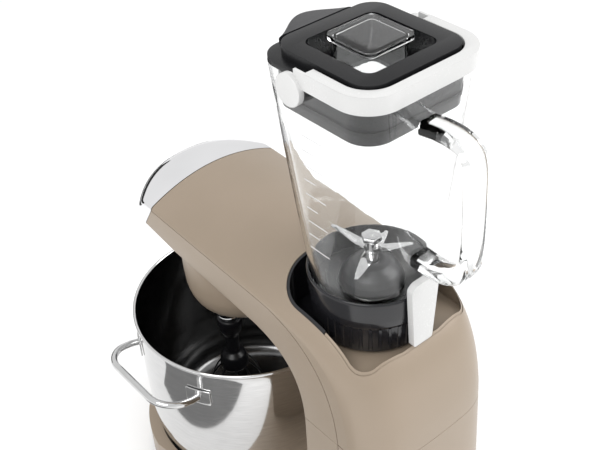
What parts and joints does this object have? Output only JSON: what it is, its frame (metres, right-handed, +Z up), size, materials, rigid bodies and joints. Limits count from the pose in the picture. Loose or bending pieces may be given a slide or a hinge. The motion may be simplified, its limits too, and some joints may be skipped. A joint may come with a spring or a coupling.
{
  "type": "stand mixer",
  "caption": "Tilting-head stand mixer with a planetary hub and whisk over a handled bowl, and a lidded blender jug seated in the back of its head.",
  "frame": {"origin": "on the ground, in the middle of the footprint's bounding box", "axes": "+Z up, -Y towards the machine's front (its nose and bowl), +X to the right seen from the front"},
  "size_m": [0.29, 0.419, 0.5625],
  "materials": {
    "body_paint": "satin champagne paint",
    "chrome_trim": "polished",
    "black_gloss": "gloss",
    "black_matte": "matte",
    "grey_plastic": "satin",
    "white_plastic": "gloss",
    "rubber": "matte",
    "stainless": "mirror polished",
    "steel": "machined",
    "brass_gear": "machined",
    "windings": "lacquered copper wire",
    "board": "solder mask",
    "jug_glass": "clear",
    "clear_cup": "clear moulded"
  },
  "bodies": {
    "base": {"base_shell": "body_paint", "base_plate": "black_matte", "foot_front_right": "rubber", "foot_front_left": "rubber", "foot_rear_right": "rubber", "foot_rear_left": "rubber", "bowl_seat": "black_matte", "knob_ring": "chrome_trim", "speed_switch": "grey_plastic", "column_front_shell": "body_paint", "column_rear_cover": "body_paint", "column_frame": "steel", "column_top_plate": "black_matte", "hinge_pin": "steel", "tilt_spring": "steel", "power_inlet": "black_gloss", "control_board": "board", "release_spring": "steel"},
    "speed_knob": {"speed_knob": "black_gloss"},
    "release_button": {"release_button": "chrome_trim"},
    "head": {"head_top_cover": "body_paint", "head_lower_shell": "body_paint", "nose_cap": "chrome_trim", "well_liner": "black_gloss", "well_ledge": "body_paint", "tilt_chassis": "steel", "motor_stator": "steel", "motor_winding": "windings", "motor_bracket": "steel", "drive_belt": "rubber", "hub_bearing_plate": "steel", "hub_bearing": "steel", "ring_gear": "steel"},
    "motor": {"motor_shaft": "steel", "motor_gear": "brass_gear", "motor_pulley": "steel"},
    "coupling": {"coupling_gear": "brass_gear", "drive_coupling": "stainless"},
    "carrier": {"hub_pulley": "grey_plastic", "planet_carrier": "chrome_trim"},
    "tool": {"planet_gear": "brass_gear", "tool_spindle": "chrome_trim", "whisk_hub": "black_gloss"},
    "bowl": {"bowl": "stainless", "bowl_handle_right": "stainless", "bowl_handle_left": "stainless"},
    "jug": {"jug_glass": "jug_glass", "jug_collar": "black_gloss", "collar_lug": "white_plastic", "jug_seal": "rubber", "blade_bearing": "grey_plastic"},
    "blades": {"blade_shaft": "stainless", "blade_low": "stainless", "blade_high": "stainless", "blade_nut": "stainless"},
    "lid": {"lid_cover": "black_gloss", "spout_cover": "grey_plastic", "lid_gasket": "rubber"},
    "bail": {"lid_bail": "white_plastic"},
    "cup": {"measuring_cup": "clear_cup"}
  },
  "joints": [
    {"name": "head_tilt", "type": "hinge", "parent": "base", "child": "head", "pos_m": [0, 0.1685, 0.18], "axis": [-1, 0, 0], "range_deg": [0, 35]},
    {"name": "carrier_spin", "type": "hinge", "parent": "head", "child": "carrier", "pos_m": [0, -0.0895, 0.25], "axis": [0, 0, 1], "continuous": true},
    {"name": "tool_spin", "type": "hinge", "parent": "carrier", "child": "tool", "pos_m": [0.0225, -0.0895, 0.22], "axis": [0, 0, 1], "continuous": true},
    {"name": "motor_spin", "type": "hinge", "parent": "head", "child": "motor", "pos_m": [0, 0.126, 0.25], "axis": [0, 0, 1], "continuous": true},
    {"name": "coupling_spin", "type": "hinge", "parent": "head", "child": "coupling", "pos_m": [0, 0.0989, 0.29], "axis": [0, 0, 1], "continuous": true},
    {"name": "blade_spin", "type": "hinge", "parent": "jug", "child": "blades", "pos_m": [0, 0.0989, 0.35], "axis": [0, 0, 1], "continuous": true},
    {"name": "speed_knob_turn", "type": "hinge", "parent": "base", "child": "speed_knob", "pos_m": [0.0737, 0.1115, 0.105], "axis": [1, 0, 0], "range_deg": [-30, 240]},
    {"name": "release_push", "type": "slide", "parent": "base", "child": "release_button", "axis": [-1, 0, 0], "range_m": [0, 0.004], "stiffness_N_per_m": 500, "springref_m": -0.002},
    {"name": "bowl_twist", "type": "hinge", "parent": "base", "child": "bowl", "pos_m": [0, -0.0895, 0.0215], "axis": [0, 0, 1], "range_deg": [0, 20]},
    {"name": "jug_lift", "type": "slide", "parent": "head", "child": "jug", "axis": [0, 0, 1], "range_m": [0, 0.08]},
    {"name": "lid_lift", "type": "slide", "parent": "jug", "child": "lid", "axis": [0, 0, 1], "range_m": [0, 0.06]},
    {"name": "bail_swing", "type": "hinge", "parent": "lid", "child": "bail", "pos_m": [0, 0.0834, 0.537], "axis": [1, 0, 0], "range_deg": [0, 90]},
    {"name": "cup_lift", "type": "slide", "parent": "lid", "child": "cup", "axis": [0, 0, 1], "range_m": [0, 0.042]}
  ],
  "couplings": [
    {"joint": "tool_spin", "follows": "carrier_spin", "ratio": -2.6667},
    {"joint": "motor_spin", "follows": "carrier_spin", "ratio": 5},
    {"joint": "coupling_spin", "follows": "carrier_spin", "ratio": -5},
    {"joint": "blade_spin", "follows": "carrier_spin", "ratio": -5}
  ]
}
